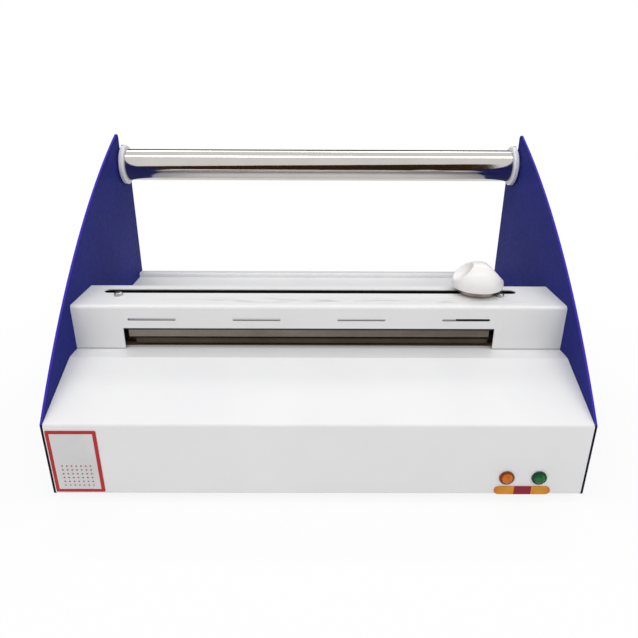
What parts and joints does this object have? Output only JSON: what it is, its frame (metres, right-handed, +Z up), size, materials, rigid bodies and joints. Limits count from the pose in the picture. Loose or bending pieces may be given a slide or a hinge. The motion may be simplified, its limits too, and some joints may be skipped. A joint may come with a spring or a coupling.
{
  "type": "tabletop medical pouch sealer",
  "caption": "Tabletop sealer for medical pouches: arched side plates carry a lift-out roll bar over a white housing with a sealing head and a sliding cutter knob.",
  "frame": {"origin": "centre of the machine's footprint, on the surface that its four feet stand on", "axes": "+X to the operator's right, +Y from the front panel to the back, +Z up"},
  "size_m": [0.46, 0.3188, 0.2825],
  "materials": {
    "blue_paint": "satin",
    "white_paint": "satin",
    "bare_sheet": "zinc plated",
    "polished_steel": "polished",
    "steel": "bright",
    "bar_metal": "mill finish",
    "tape": "matte",
    "white_plastic": "satin",
    "grey_plastic": "matte",
    "black_plastic": "matte",
    "rubber": "matte",
    "amber": "gloss",
    "green": "gloss",
    "marker": "gloss",
    "plate": "satin"
  },
  "bodies": {
    "housing": {"side_plate_left": "blue_paint", "side_plate_right": "blue_paint", "front_cover": "white_paint", "head_cover": "white_paint", "head_rear": "white_paint", "head_bridge_left": "white_paint", "head_bridge_right": "white_paint", "rear_shelf": "white_paint", "back_panel": "white_paint", "base_plate": "bare_sheet", "bed_beam": "bare_sheet", "seal_bar_hanger_left": "bare_sheet", "seal_bar_hanger_right": "bare_sheet", "film_guard": "polished_steel", "guide_rail": "steel", "head_screw_left": "steel", "head_screw_right": "steel", "upper_seal_bar": "bar_metal", "heater_bar": "bar_metal", "cutting_strip": "bar_metal", "heater_tape": "tape", "power_inlet": "black_plastic", "power_switch": "black_plastic", "fuse_holder": "black_plastic", "foot_front_left": "rubber", "foot_front_right": "rubber", "foot_rear_left": "rubber", "foot_rear_right": "rubber", "lamp_lens_amber": "amber", "lamp_bezel_amber": "amber", "lamp_lens_green": "green", "lamp_bezel_green": "green", "marker_strip": "marker", "name_plate": "plate"},
    "cutter_slider": {"slider_knob": "white_plastic", "slider_disc": "steel", "slider_carriage": "grey_plastic", "cutter_blade": "steel"},
    "roll_plugs": {"roll_plug_left": "white_plastic", "roll_plug_right": "white_plastic"},
    "roll_tube": {"roll_tube": "polished_steel"}
  },
  "joints": [
    {"name": "cutter_slide", "type": "slide", "parent": "housing", "child": "cutter_slider", "axis": [1, 0, 0], "range_m": [-0.3267, 0]},
    {"name": "roll_lift", "type": "slide", "parent": "housing", "child": "roll_plugs", "axis": [0, 0, 1], "range_m": [0, 0.06]},
    {"name": "roll_spin", "type": "hinge", "parent": "roll_plugs", "child": "roll_tube", "pos_m": [0, 0.12995, 0.2477], "axis": [1, 0, 0], "continuous": true}
  ]
}
